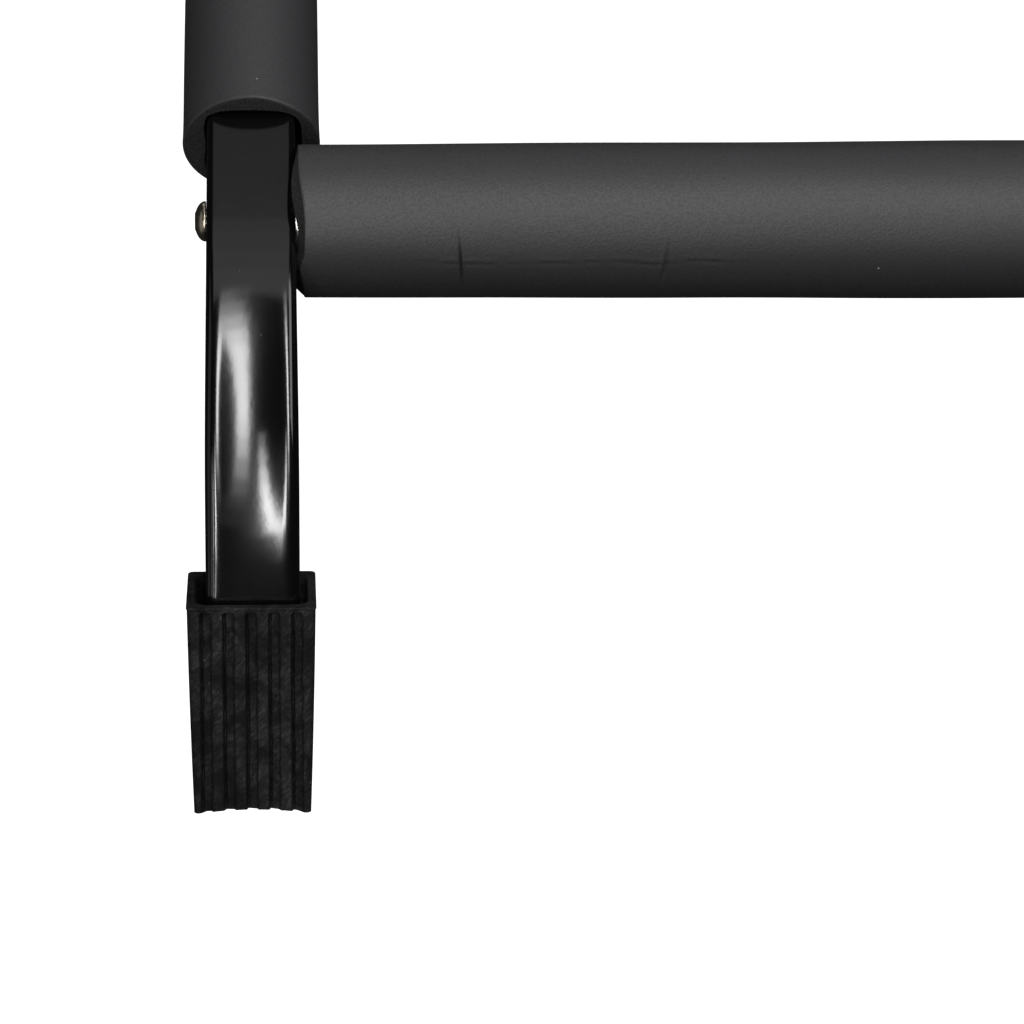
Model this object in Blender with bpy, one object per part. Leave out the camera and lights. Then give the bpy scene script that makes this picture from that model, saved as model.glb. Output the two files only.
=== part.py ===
"""A doorway pull-up bar that hooks over the trim of a door and needs no screws.

Two bent square arms carry everything. At the back they rise behind the wall to a hook bar that
rests on the door trim; further forward a long door bar presses on the trim at the sides; in front
a padded bar joins the arms, whose ends bend down into ribbed rubber boots.

Metres, +Z up, -Y towards the user. The origin is the middle of the underside of the hook bar's
rubber sleeve, which is the face that rests on the trim.
"""
import math

import bmesh
import bpy
from mathutils import Matrix, Vector

# Fits
FIT_GAP = 0.0003          # left between two pieces that touch
DRILL_GAP = 0.0004        # round a bolt in its hole

# Arms: square tube, bent in a plane of constant X
ARM_X = 0.280             # from the middle of the frame to each arm's middle
ARM_HALF = 0.0125
ARM_CORNER = 0.003
ARM_WALL = 0.0018
RISER_DROP = 0.100        # from the trim's top down to the top of the straight run
RISER_BEND = 0.045
FRONT_BEND = 0.094
FRONT_BEND_DEG = 54.0
TAIL_LENGTH = 0.0625      # straight end beyond the front bend, inside the boot

# Bars, as distances along Y between their axes
WALL_SPACE = 0.1653       # from the door pads to the risers: the wall and both its trims
BAR_REACH = 0.270         # from the door bar to the front bar
BEND_START = 0.010        # from the front bar's axis to the start of the front bend
ROUND_BAR_R = 0.014
ROUND_BAR_WALL = 0.0015

# Foam
FRONT_FOAM_R = 0.0212
GRIP_FOAM_R = 0.0192
GRIP_START = 0.0285       # from the front bar's axis back to the grip's end
GRIP_LENGTH = 0.190
DOOR_PAD_R = 0.021
DOOR_PAD_LENGTH = 0.160
DOOR_BAR_HALF = 0.4625

# Hook bar
HOOK_HALF_X = 0.310
HOOK_HALF_Y = 0.010
HOOK_HALF_Z = 0.020
HOOK_WALL = 0.0018
HOOK_RUBBER = 0.004
HOOK_SLEEVE_HALF = 0.250
HOOK_CAP_START = 0.2965

# Boots
BOOT_HALF = 0.0176
BOOT_END_HALF = 0.0160
BOOT_LENGTH = 0.0591
BOOT_FLOOR = 0.0066
BOOT_CORNER = 0.0045
MOUTH_DEPTH = 0.006
MOUTH_HALF = 0.0144
GROOVE_COUNT = 5
GROOVE_PITCH = 0.00625
GROOVE_WIDTH = 0.0028
GROOVE_DEPTH = 0.0015
GROOVE_START = 0.0035     # below the boot's rim

# Fasteners
FRONT_BOLT_R = 0.003
FRONT_HEAD_R = 0.0056
FRONT_HEAD_HEIGHT = 0.0032
FRONT_BOLT_GRIP = 0.046
FLANGE_R = 0.0136
FLANGE_THICK = 0.0012
FRAME_BOLT_R = 0.004
FRAME_HEAD_R = 0.008
FRAME_HEAD_HEIGHT = 0.0033
WASHER_R = 0.008
WASHER_THICK = 0.0016
NUT_R = 0.0075            # to a corner of the hexagon
NUT_HEIGHT = 0.0075
SADDLE_HALF = 0.015
SADDLE_CROWN = 0.0025     # between the arm and the top of the door bar
SADDLE_HEIGHT = 0.009

# Places worked out from the sizes above
HOOK_Z = HOOK_RUBBER + FIT_GAP + HOOK_HALF_Z
RISER_Y = HOOK_HALF_Y + FIT_GAP + ARM_HALF
ARM_Z = -RISER_DROP - ARM_HALF
DOOR_BAR_Y = RISER_Y - ARM_HALF - WALL_SPACE - DOOR_PAD_R
DOOR_BAR_Z = ARM_Z - ARM_HALF - FIT_GAP - SADDLE_CROWN - FIT_GAP - ROUND_BAR_R
FRONT_BAR_Y = DOOR_BAR_Y - BAR_REACH
RISER_TOP = HOOK_Z + HOOK_HALF_Z
SIDES = {"left": -1, "right": 1}

X = Vector((1, 0, 0))
Y = Vector((0, 1, 0))
Z = Vector((0, 0, 1))


# ---------------------------------------------------------------- materials

def finish(name, hex_colour, roughness, metallic=0.0):
    """A Principled material of one colour."""
    material = bpy.data.materials.new(name)
    material.use_nodes = True
    shader = material.node_tree.nodes["Principled BSDF"]
    channels = [int(hex_colour[i : i + 2], 16) / 255 for i in (0, 2, 4)]
    linear = [c / 12.92 if c < 0.04045 else ((c + 0.055) / 1.055) ** 2.4 for c in channels]
    shader.inputs["Base Color"].default_value = (*linear, 1)
    shader.inputs["Roughness"].default_value = roughness
    shader.inputs["Metallic"].default_value = metallic
    material.diffuse_color = (*linear, 1)
    return material


def make_finishes():
    return {
        "enamel": finish("black_enamel", "161616", 0.22),
        "foam": finish("black_foam", "2B2A2B", 0.85),
        "rubber": finish("black_rubber", "222222", 0.6),
        "plastic": finish("black_plastic", "1E1E1E", 0.45),
        "nickel": finish("bright_nickel", "C9C4B8", 0.22, 1.0),
    }


# ---------------------------------------------------------------- shapes

def add_object(name, mesh_maker, material, smooth_deg=40):
    """Turns a bmesh into a named object with its own material."""
    bmesh.ops.recalc_face_normals(mesh_maker, faces=mesh_maker.faces)
    mesh = bpy.data.meshes.new(name)
    mesh_maker.to_mesh(mesh)
    mesh_maker.free()
    mesh.materials.append(material)
    mesh.shade_smooth()
    mesh.set_sharp_from_angle(angle=math.radians(smooth_deg))
    piece = bpy.data.objects.new(name, mesh)
    bpy.context.scene.collection.objects.link(piece)
    return piece


def circle(radius, count):
    """Points round a circle, anticlockwise."""
    turns = [2 * math.pi * i / count for i in range(count)]
    return [(radius * math.cos(t), radius * math.sin(t)) for t in turns]


def rounded_box(half_u, half_v, corner, steps=3):
    """Points round a rectangle with round corners, anticlockwise from the first corner."""
    points = []
    for quarter, (su, sv) in enumerate(((1, 1), (-1, 1), (-1, -1), (1, -1))):
        for i in range(steps + 1):
            turn = math.radians(90 * quarter + 90 * i / steps)
            u = su * (half_u - corner) + corner * math.cos(turn)
            v = sv * (half_v - corner) + corner * math.sin(turn)
            points.append((u, v))
    return points


def with_flat_points(outline, longest):
    """The same outline with its long sides split, so that no side is longer than a limit."""
    points = []
    for i, (u, v) in enumerate(outline):
        next_u, next_v = outline[(i + 1) % len(outline)]
        parts = max(1, math.ceil(math.hypot(next_u - u, next_v - v) / longest))
        for k in range(parts):
            share = k / parts
            points.append((u + (next_u - u) * share, v + (next_v - v) * share))
    return points


def place_ring(mesh, outline, centre, u_axis, v_axis):
    return [mesh.verts.new(centre + u_axis * u + v_axis * v) for u, v in outline]


def bridge(mesh, ring_a, ring_b):
    """Joins two rings of the same count with a band of quads."""
    count = len(ring_a)
    for i in range(count):
        j = (i + 1) % count
        mesh.faces.new((ring_a[i], ring_a[j], ring_b[j], ring_b[i]))


def swept_tube(name, outer, inner, stations, material):
    """An open tube whose outer and inner outlines follow stations of (centre, u_axis, v_axis)."""
    mesh = bmesh.new()
    outer_rings = [place_ring(mesh, outer, *station) for station in stations]
    inner_rings = [place_ring(mesh, inner, *station) for station in stations]
    for i in range(len(stations) - 1):
        bridge(mesh, outer_rings[i], outer_rings[i + 1])
        bridge(mesh, inner_rings[i], inner_rings[i + 1])
    bridge(mesh, outer_rings[0], inner_rings[0])
    bridge(mesh, outer_rings[-1], inner_rings[-1])
    return add_object(name, mesh, material)


def straight_tube(name, outer, inner, start, end, u_axis, material):
    axis = (end - start).normalized()
    v_axis = axis.cross(u_axis)
    stations = [(start, u_axis, v_axis), (end, u_axis, v_axis)]
    return swept_tube(name, outer, inner, stations, material)


def side_axis(axis):
    """A unit vector square to an axis that lies along X, Y or Z."""
    return X if abs(axis.x) < 0.5 else Y


def turned(name, profile, origin, axis, material, count=24):
    """A solid turned about an axis. The profile is (distance along the axis, radius); it starts
    and ends at radius 0 in a solid piece, and is a closed loop in a pierced one."""
    mesh = bmesh.new()
    u_axis = side_axis(axis)
    v_axis = axis.cross(u_axis)
    solid = profile[0][1] == 0
    rings = []
    for along, radius in profile:
        centre = origin + axis * along
        if radius == 0:
            rings.append([mesh.verts.new(centre)])
        else:
            rings.append(place_ring(mesh, circle(radius, count), centre, u_axis, v_axis))
    pairs = list(zip(rings, rings[1:]))
    if not solid:
        pairs.append((rings[-1], rings[0]))
    for ring_a, ring_b in pairs:
        if len(ring_a) == 1 or len(ring_b) == 1:
            tip, ring = (ring_a[0], ring_b) if len(ring_a) == 1 else (ring_b[0], ring_a)
            for i in range(count):
                mesh.faces.new((tip, ring[i], ring[(i + 1) % count]))
        else:
            bridge(mesh, ring_a, ring_b)
    return add_object(name, mesh, material)


def prism(name, outline, start, end, u_axis, material):
    """A solid of one outline between two points."""
    mesh = bmesh.new()
    v_axis = (end - start).normalized().cross(u_axis)
    low = place_ring(mesh, outline, start, u_axis, v_axis)
    high = place_ring(mesh, outline, end, u_axis, v_axis)
    bridge(mesh, low, high)
    mesh.faces.new(low)
    mesh.faces.new(high)
    return add_object(name, mesh, material)


def cut(target, cutter):
    """Takes a hidden cutter out of a piece."""
    cutter.hide_render = True
    cutter.display_type = "WIRE"
    boolean = target.modifiers.new(cutter.name, "BOOLEAN")
    boolean.operation = "DIFFERENCE"
    boolean.solver = "EXACT"
    boolean.object = cutter


def drill(target, label, radius, start, end, material, count=16):
    axis = (end - start).normalized()
    name = "cutter_" + label
    cutter = prism(name, circle(radius, count), start, end, side_axis(axis), material)
    cut(target, cutter)


# ---------------------------------------------------------------- the arm's line

def arm_line():
    """The arm's centre line in the YZ plane, from the riser's top to the tail's end: a list of
    (y, z, heading), with the heading in radians from -Y, positive downwards."""
    straight = (RISER_Y - RISER_BEND) - (FRONT_BAR_Y - BEND_START)
    moves = [
        ("run", RISER_TOP - (ARM_Z + RISER_BEND), 1),
        ("bend", RISER_BEND, -90.0, 9),
        ("run", straight, 1),
        ("bend", FRONT_BEND, FRONT_BEND_DEG, 9),
        ("run", TAIL_LENGTH, 1),
    ]
    y, z, heading = RISER_Y, RISER_TOP, math.radians(90)
    line = [(y, z, heading)]
    for move in moves:
        if move[0] == "run":
            y -= move[1] * math.cos(heading)
            z -= move[1] * math.sin(heading)
            line.append((y, z, heading))
            continue
        radius, turn, steps = move[1], math.radians(move[2]), move[3]
        side = math.copysign(1, turn)
        centre_y = y + side * radius * math.sin(heading)
        centre_z = z - side * radius * math.cos(heading)
        start = heading
        for i in range(1, steps + 1):
            heading = start + turn * i / steps
            y = centre_y - side * radius * math.sin(heading)
            z = centre_z + side * radius * math.cos(heading)
            line.append((y, z, heading))
    return line


def arm_stations(x):
    """Stations for the swept tube: u runs across the arm and v out of its upper face."""
    stations = []
    for y, z, heading in arm_line():
        upper = Vector((0, -math.sin(heading), math.cos(heading)))
        stations.append((Vector((x, y, z)), X, upper))
    return stations


# ---------------------------------------------------------------- pieces

def make_arm(side, sign, mats):
    x = sign * ARM_X
    outer = rounded_box(ARM_HALF, ARM_HALF, ARM_CORNER)
    inner_half = ARM_HALF - ARM_WALL
    inner = rounded_box(inner_half, inner_half, ARM_CORNER - ARM_WALL)
    arm = swept_tube(f"arm_{side}", outer, inner, arm_stations(x), mats["enamel"])
    reach = 2 * ARM_HALF
    front = Vector((x, FRONT_BAR_Y, ARM_Z))
    drill(arm, f"front_{side}", FRONT_BOLT_R + DRILL_GAP, front - X * reach, front + X * reach,
          mats["enamel"])
    door = Vector((x, DOOR_BAR_Y, ARM_Z))
    drill(arm, f"door_{side}", FRAME_BOLT_R + DRILL_GAP, door - Z * reach, door + Z * reach,
          mats["enamel"])
    hook = Vector((x, RISER_Y, HOOK_Z))
    drill(arm, f"hook_{side}", FRAME_BOLT_R + DRILL_GAP, hook - Y * reach, hook + Y * reach,
          mats["enamel"])


def make_riser_plug(side, sign, mats):
    """A square plug in the riser's open top."""
    x = sign * ARM_X
    base = Vector((x, RISER_Y, RISER_TOP + FIT_GAP))
    cap = rounded_box(ARM_HALF, ARM_HALF, ARM_CORNER)
    half = ARM_HALF - ARM_WALL - FIT_GAP
    spigot = rounded_box(half, half, ARM_CORNER - ARM_WALL)
    mesh = bmesh.new()
    levels = ((cap, 0.0025), (cap, 0.0), (spigot, 0.0), (spigot, -0.006))
    rings = [place_ring(mesh, outline, base + Z * up, X, Y) for outline, up in levels]
    for ring_a, ring_b in zip(rings, rings[1:]):
        bridge(mesh, ring_a, ring_b)
    mesh.faces.new(rings[0])
    mesh.faces.new(rings[-1])
    add_object(f"riser_plug_{side}", mesh, mats["plastic"])


def make_boot(side, sign, mats):
    """A tapered rubber boot on the arm's tail, ribbed on its upper and lower faces."""
    y, z, heading = arm_line()[-1]
    along = Vector((0, -math.cos(heading), -math.sin(heading)))
    upper = Vector((0, -math.sin(heading), math.cos(heading)))
    tail = Vector((sign * ARM_X, y, z))
    floor = tail + along * FIT_GAP
    foot = floor + along * BOOT_FLOOR
    rim = foot - along * BOOT_LENGTH
    snug = ARM_HALF + FIT_GAP
    mouth_corner = ARM_CORNER + MOUTH_HALF - ARM_HALF
    outlines = [
        (rounded_box(BOOT_END_HALF, BOOT_END_HALF, BOOT_CORNER), foot),
        (rounded_box(BOOT_HALF, BOOT_HALF, BOOT_CORNER), rim),
        (rounded_box(MOUTH_HALF, MOUTH_HALF, mouth_corner), rim),
        (rounded_box(snug, snug, ARM_CORNER + FIT_GAP), rim + along * MOUTH_DEPTH),
        (rounded_box(snug, snug, ARM_CORNER + FIT_GAP), floor),
    ]
    mesh = bmesh.new()
    rings = [place_ring(mesh, outline, centre, X, upper) for outline, centre in outlines]
    for ring_a, ring_b in zip(rings, rings[1:]):
        bridge(mesh, ring_a, ring_b)
    mesh.faces.new(rings[0])
    mesh.faces.new(rings[-1])
    boot = add_object(f"boot_{side}", mesh, mats["rubber"])

    # Grooves run from just under the rim and out through the foot, in the taper of each face.
    slope = (BOOT_HALF - BOOT_END_HALF) / BOOT_LENGTH
    for face, out in (("upper", upper), ("lower", -upper)):
        cutter = bmesh.new()
        for i in range(GROOVE_COUNT):
            offset = (i - (GROOVE_COUNT - 1) / 2) * GROOVE_PITCH
            start = rim + along * GROOVE_START + X * offset
            centre = start + out * (BOOT_HALF - slope * GROOVE_START)
            run = (along - out * slope).normalized()
            lift = run.cross(X).normalized()
            half = GROOVE_WIDTH / 2
            outline = rounded_box(half, GROOVE_DEPTH, half * 0.6, steps=1)
            low = place_ring(cutter, outline, centre, X, lift)
            high = place_ring(cutter, outline, centre + run * (BOOT_LENGTH + 0.002), X, lift)
            bridge(cutter, low, high)
            cutter.faces.new(low)
            cutter.faces.new(high)
        cut(boot, add_object(f"cutter_grooves_{face}_{side}", cutter, mats["rubber"]))


def make_grip(side, sign, mats):
    """A foam sleeve with a square bore, round the straight run between the two round bars."""
    end = Vector((sign * ARM_X, FRONT_BAR_Y + GRIP_START, ARM_Z))
    half = ARM_HALF + FIT_GAP
    bore = with_flat_points(rounded_box(half, half, ARM_CORNER + FIT_GAP, steps=2), 0.005)
    outer = [(u * GRIP_FOAM_R / math.hypot(u, v), v * GRIP_FOAM_R / math.hypot(u, v))
             for u, v in bore]
    straight_tube(f"grip_foam_{side}", outer, bore, end, end + Y * GRIP_LENGTH, X, mats["foam"])


def make_front_bar(mats):
    inner_face = ARM_X - ARM_HALF
    tube_half = inner_face - FIT_GAP - FLANGE_THICK - FIT_GAP
    centre = Vector((0, FRONT_BAR_Y, ARM_Z))
    tube = circle(ROUND_BAR_R, 24)
    bore = circle(ROUND_BAR_R - ROUND_BAR_WALL, 24)
    straight_tube("front_bar_tube", tube, bore, centre - X * tube_half, centre + X * tube_half,
                  Y, mats["enamel"])
    foam_half = inner_face - FIT_GAP
    straight_tube("front_bar_foam", circle(FRONT_FOAM_R, 28), circle(ROUND_BAR_R + FIT_GAP, 28),
                  centre - X * foam_half, centre + X * foam_half, Y, mats["foam"])
    for side, sign in SIDES.items():
        outwards = X * sign
        arm_inside = centre + outwards * inner_face
        spigot = ROUND_BAR_R - ROUND_BAR_WALL - FIT_GAP
        hole = FRONT_BOLT_R + FIT_GAP
        flange_face = FIT_GAP
        flange_back = flange_face + FLANGE_THICK
        tail = flange_back + 0.024
        turned(f"front_bar_plug_{side}",
               [(flange_face, hole), (flange_face, FLANGE_R), (flange_back, FLANGE_R),
                (flange_back, spigot), (tail, spigot), (tail, hole)],
               arm_inside, -outwards, mats["nickel"])
        head_seat = centre + outwards * (ARM_X + ARM_HALF + FIT_GAP)
        turned(f"front_bar_bolt_{side}", bolt_profile(FRONT_BOLT_R, FRONT_BOLT_GRIP,
               FRONT_HEAD_R, FRONT_HEAD_HEIGHT), head_seat, -outwards, mats["nickel"])


def bolt_profile(shank, length, head, height):
    """A dome-headed bolt: 0 is the underside of its head, and the shank runs along +axis."""
    turns = [math.radians(90 * i / 4) for i in range(5)]
    dome = [(-height * math.cos(turn), head * math.sin(turn)) for turn in turns]
    return dome + [(0.0, shank), (length, shank), (length, 0.0)]


def washer_profile(bore):
    return [(0.0, bore), (0.0, WASHER_R), (WASHER_THICK, WASHER_R), (WASHER_THICK, bore)]


def make_nut(name, seat, axis, mats):
    """A hexagon nut, pierced for its bolt."""
    hexagon = circle(NUT_R, 6)
    nut = prism(name, hexagon, seat, seat + axis * NUT_HEIGHT, side_axis(axis), mats["nickel"])
    drill(nut, "in_" + name, FRAME_BOLT_R + FIT_GAP, seat - axis * NUT_HEIGHT,
          seat + axis * 2 * NUT_HEIGHT, mats["nickel"])


def make_door_bar(mats):
    centre = Vector((0, DOOR_BAR_Y, DOOR_BAR_Z))
    bar = straight_tube("door_bar_tube", circle(ROUND_BAR_R, 24),
                        circle(ROUND_BAR_R - ROUND_BAR_WALL, 24),
                        centre - X * DOOR_BAR_HALF, centre + X * DOOR_BAR_HALF, Y, mats["enamel"])
    for side, sign in SIDES.items():
        outwards = X * sign
        tip = centre + outwards * DOOR_BAR_HALF
        straight_tube(f"door_pad_{side}", circle(DOOR_PAD_R, 28),
                      circle(ROUND_BAR_R + FIT_GAP, 28), tip - outwards * DOOR_PAD_LENGTH,
                      tip, Y, mats["foam"])
        spigot = ROUND_BAR_R - ROUND_BAR_WALL - FIT_GAP
        turned(f"door_bar_cap_{side}",
               [(-0.018, 0.0), (-0.018, spigot), (FIT_GAP, spigot), (FIT_GAP, ROUND_BAR_R),
                (0.0018, ROUND_BAR_R), (0.0028, ROUND_BAR_R * 0.85), (0.0030, 0.0)],
               tip, outwards, mats["plastic"])
        make_door_joint(side, sign, bar, mats)


def make_door_joint(side, sign, bar, mats):
    """The saddle between arm and door bar, with the bolt that clamps all three."""
    x = sign * ARM_X
    arm_under = Vector((x, DOOR_BAR_Y, ARM_Z - ARM_HALF - FIT_GAP))
    saddle = prism(f"door_saddle_{side}", rounded_box(SADDLE_HALF, SADDLE_HALF, 0.003),
                   arm_under, arm_under - Z * SADDLE_HEIGHT, X, mats["plastic"])
    bar_axis = Vector((x, DOOR_BAR_Y, DOOR_BAR_Z))
    drill(saddle, f"cradle_{side}", ROUND_BAR_R + FIT_GAP, bar_axis - X * 2 * SADDLE_HALF,
          bar_axis + X * 2 * SADDLE_HALF, mats["plastic"], count=24)
    drill(saddle, f"saddle_{side}", FRAME_BOLT_R + DRILL_GAP, arm_under + Z * SADDLE_HEIGHT,
          arm_under - Z * 2 * SADDLE_HEIGHT, mats["plastic"])
    drill(bar, f"door_bar_{side}", FRAME_BOLT_R + DRILL_GAP, bar_axis - Z * 2 * ROUND_BAR_R,
          bar_axis + Z * 2 * ROUND_BAR_R, mats["enamel"])
    seat = Vector((x, DOOR_BAR_Y, ARM_Z + ARM_HALF + FIT_GAP))
    washer_top = bar_axis - Z * (ROUND_BAR_R + FIT_GAP)
    nut_top = washer_top - Z * (WASHER_THICK + FIT_GAP)
    length = seat.z - nut_top.z + NUT_HEIGHT + 0.002
    turned(f"door_bolt_{side}", bolt_profile(FRAME_BOLT_R, length, FRAME_HEAD_R,
           FRAME_HEAD_HEIGHT), seat, -Z, mats["nickel"])
    turned(f"door_washer_{side}", washer_profile(FRAME_BOLT_R + FIT_GAP), washer_top, -Z,
           mats["nickel"])
    make_nut(f"door_nut_{side}", nut_top, -Z, mats)


def make_hook_bar(mats):
    centre = Vector((0, 0, HOOK_Z))
    outline = rounded_box(HOOK_HALF_Y, HOOK_HALF_Z, 0.002)
    inside = rounded_box(HOOK_HALF_Y - HOOK_WALL, HOOK_HALF_Z - HOOK_WALL, 0.001)
    hook = straight_tube("hook_bar_tube", outline, inside, centre - X * HOOK_HALF_X,
                         centre + X * HOOK_HALF_X, Y, mats["enamel"])
    skin = HOOK_RUBBER + FIT_GAP
    outer = rounded_box(HOOK_HALF_Y + skin, HOOK_HALF_Z + skin, 0.004)
    bore = rounded_box(HOOK_HALF_Y + FIT_GAP, HOOK_HALF_Z + FIT_GAP, 0.002)
    straight_tube("hook_bar_sleeve", outer, bore, centre - X * HOOK_SLEEVE_HALF,
                  centre + X * HOOK_SLEEVE_HALF, Y, mats["rubber"])
    for side, sign in SIDES.items():
        outwards = X * sign
        make_hook_cap(side, centre, outwards, outer, bore, mats)
        make_hook_joint(side, sign, hook, mats)


def make_hook_cap(side, centre, outwards, outer, bore, mats):
    """A rubber cap pushed over the hook bar's end."""
    mouth = centre + outwards * HOOK_CAP_START
    floor = centre + outwards * (HOOK_HALF_X + FIT_GAP)
    end = floor + outwards * HOOK_RUBBER
    v_axis = X.cross(Y)
    mesh = bmesh.new()
    levels = ((outer, end), (outer, mouth), (bore, mouth), (bore, floor))
    rings = [place_ring(mesh, outline, at, Y, v_axis) for outline, at in levels]
    for ring_a, ring_b in zip(rings, rings[1:]):
        bridge(mesh, ring_a, ring_b)
    mesh.faces.new(rings[0])
    mesh.faces.new(rings[-1])
    add_object(f"hook_bar_cap_{side}", mesh, mats["rubber"])


def make_hook_joint(side, sign, hook, mats):
    """The bolt through hook bar and riser: its head faces the wall, its nut is at the back."""
    x = sign * ARM_X
    seat = Vector((x, -HOOK_HALF_Y - FIT_GAP, HOOK_Z))
    drill(hook, f"hook_bar_{side}", FRAME_BOLT_R + DRILL_GAP, seat - Y * HOOK_HALF_Y,
          seat + Y * 4 * HOOK_HALF_Y, mats["enamel"])
    washer_face = Vector((x, RISER_Y + ARM_HALF + FIT_GAP, HOOK_Z))
    nut_face = washer_face + Y * (WASHER_THICK + FIT_GAP)
    length = nut_face.y - seat.y + NUT_HEIGHT + 0.002
    turned(f"hook_bolt_{side}", bolt_profile(FRAME_BOLT_R, length, FRAME_HEAD_R,
           FRAME_HEAD_HEIGHT), seat, Y, mats["nickel"])
    turned(f"hook_washer_{side}", washer_profile(FRAME_BOLT_R + FIT_GAP), washer_face, Y,
           mats["nickel"])
    make_nut(f"hook_nut_{side}", nut_face, Y, mats)


def clear_scene():
    for old in list(bpy.data.objects):
        bpy.data.objects.remove(old)


def main():
    clear_scene()
    mats = make_finishes()
    for side, sign in SIDES.items():
        make_arm(side, sign, mats)
        make_riser_plug(side, sign, mats)
        make_boot(side, sign, mats)
        make_grip(side, sign, mats)
    make_front_bar(mats)
    make_door_bar(mats)
    make_hook_bar(mats)


main()
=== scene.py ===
"""The looks of a doorway pull-up bar: black enamelled arms, foam sleeves, ribbed rubber boots and
plated fasteners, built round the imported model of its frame."""
import math

import bmesh
import bpy
import numpy as np
from mathutils import Matrix, Vector, noise


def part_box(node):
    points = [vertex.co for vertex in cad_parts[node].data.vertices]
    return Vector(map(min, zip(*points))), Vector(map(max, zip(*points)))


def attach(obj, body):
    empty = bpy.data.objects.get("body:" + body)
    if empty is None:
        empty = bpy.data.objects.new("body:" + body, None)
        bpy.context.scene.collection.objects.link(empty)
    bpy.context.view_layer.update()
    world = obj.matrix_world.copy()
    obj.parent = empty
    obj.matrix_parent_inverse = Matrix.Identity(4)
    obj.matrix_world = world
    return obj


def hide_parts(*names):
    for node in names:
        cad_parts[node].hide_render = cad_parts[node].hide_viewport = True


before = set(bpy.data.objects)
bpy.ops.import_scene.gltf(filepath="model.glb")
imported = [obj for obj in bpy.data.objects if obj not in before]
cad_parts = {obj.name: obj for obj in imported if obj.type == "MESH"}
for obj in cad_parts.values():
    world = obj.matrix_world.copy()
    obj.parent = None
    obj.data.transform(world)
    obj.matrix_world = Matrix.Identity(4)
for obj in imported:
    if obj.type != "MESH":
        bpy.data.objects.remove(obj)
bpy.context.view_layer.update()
MM = 0.001

# ---- Arms ----
# Each arm is one length of 25 mm square steel tube, bent up behind the wall and down at the front,
# then dipped in black gloss enamel. Bending pulls the outer wall inwards, which leaves a shallow
# dish along the front bend, and the front bar's bolt draws the wall in a little where it clamps.

ARM_HALF = 12.5 * MM
ARM_CORNER = 2.3 * MM
RISER_BEND = 45 * MM
FRONT_BEND = 94 * MM
FRONT_BEND_DEG = 54
BEND_START = 10 * MM      # from the front bar's axis to the front bend
TAIL_LENGTH = 62.5 * MM
DISH_DEPTH = 0.9 * MM
DISH_HALF = 9.9 * MM
DISH_CREST = 0.35         # how softly the dish turns into the tube's corners
DISH_FROM, DISH_TO = 0.10, 1.12   # shares of the front bend
SHOULDER_FROM = 8.3 * MM  # where the dish's shoulders start to fall away to the sides
SHOULDER_R = 12 * MM
NARROW, WIDE = -0.25 * MM, 0.2 * MM   # how far the bend changes the half width
DISH_POWER, SHOULDER_POWER = 1.8, 0.7   # how the dish and its shoulders swell along the bend
OUTSIDE_FROM, OUTSIDE_OVER = 3.5 * MM, 2 * MM   # below the outer face, where the dish fades in
CLAMP_DEPTH = 0.8 * MM
CLAMP_SPREAD = 11 * MM
CLAMP_STRETCH = 40 * MM   # the straight length behind the bolt that is meshed finely


def add_node(tree, kind, inputs=None, **settings):
    """Adds a node with its settings, and sets or links its inputs."""
    made = tree.nodes.new(kind)
    for name, value in settings.items():
        setattr(made, name, value)
    for key, value in (inputs or {}).items():
        if isinstance(value, bpy.types.NodeSocket):
            tree.links.new(value, made.inputs[key])
        else:
            made.inputs[key].default_value = value
    return made


def linear(hex_colour):
    """An sRGB hex colour as linear RGBA."""
    channels = [int(hex_colour[i : i + 2], 16) / 255 for i in (0, 2, 4)]
    return (*[c / 12.92 if c < 0.04045 else ((c + 0.055) / 1.055) ** 2.4 for c in channels], 1)


def new_finish(name, **constants):
    """A material whose Principled shader holds constants, with its tree and Object coordinates."""
    finish = bpy.data.materials.new(name)
    finish.use_nodes = True
    tree = finish.node_tree
    shader = tree.nodes["Principled BSDF"]
    for key, value in constants.items():
        shader.inputs[key.replace("_", " ")].default_value = value
    return finish, tree, shader, add_node(tree, "ShaderNodeTexCoord").outputs["Object"]


def dusted(tree, spot, spacing, kept, under, colour):
    """The colour under some dust: tiny specks a spacing apart, of which a share is kept."""
    cells = add_node(tree, "ShaderNodeTexVoronoi", {"Vector": spot, "Scale": 1 / spacing})
    near = add_node(tree, "ShaderNodeMapRange",
                    {"Value": cells.outputs["Distance"], "From Min": 0.025, "From Max": 0.04,
                     "To Min": 1.0, "To Max": 0.0})
    pick = add_node(tree, "ShaderNodeSeparateColor", {"Color": cells.outputs["Color"]})
    chosen = add_node(tree, "ShaderNodeMath", {0: pick.outputs["Red"], 1: kept},
                      operation="LESS_THAN")
    speck = add_node(tree, "ShaderNodeMath",
                     {0: near.outputs["Result"], 1: chosen.outputs["Value"]}, operation="MULTIPLY")
    mixed = add_node(tree, "ShaderNodeMix", {"Factor": speck.outputs["Value"], "A": under,
                                             "B": linear(colour)}, data_type="RGBA")
    return mixed.outputs["Result"]


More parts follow.
